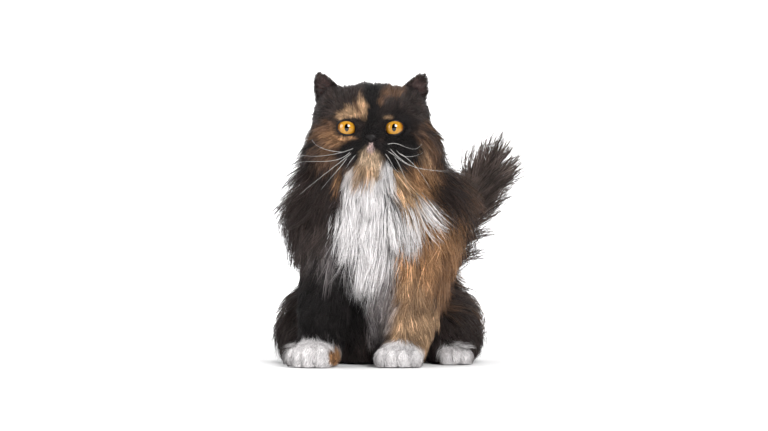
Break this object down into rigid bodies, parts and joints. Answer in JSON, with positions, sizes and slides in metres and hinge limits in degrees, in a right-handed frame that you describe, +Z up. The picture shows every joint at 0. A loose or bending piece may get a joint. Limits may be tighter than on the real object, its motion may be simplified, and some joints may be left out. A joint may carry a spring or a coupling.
{
  "type": "persian cat",
  "caption": "Life-size still model of a seated long-haired Persian cat with a flat face, full ruff and raised plumed tail.",
  "frame": {"origin": "middle of the bounding box's floor face, on the floor that the cat sits on", "axes": "+X to the cat's left, -Y the way it faces, +Z up"},
  "size_m": [0.3598, 0.3532, 0.3822],
  "materials": {
    "black_fur": "soft black fur with a low sheen",
    "dark_fur": "long dark brown-black fur",
    "ginger_fur": "ginger and brown mixed fur",
    "white_fur": "long soft white fur",
    "eye": "glossy amber eye with a dark pupil",
    "nose_leather": "moist pebbled black nose leather"
  },
  "bodies": {
    "root": {"head": "black_fur", "ear_right": "black_fur", "ear_left": "black_fur", "eye_right": "eye", "eye_left": "eye", "nose": "nose_leather", "neck_ruff": "dark_fur", "torso": "white_fur", "haunch_right": "dark_fur", "haunch_left": "dark_fur", "foreleg_right": "black_fur", "foreleg_left": "ginger_fur", "forepaw_right": "white_fur", "forepaw_left": "white_fur", "hindpaw_right": "white_fur", "hindpaw_left": "white_fur", "tail_base": "dark_fur", "tail_plume": "dark_fur"}
  },
  "joints": []
}
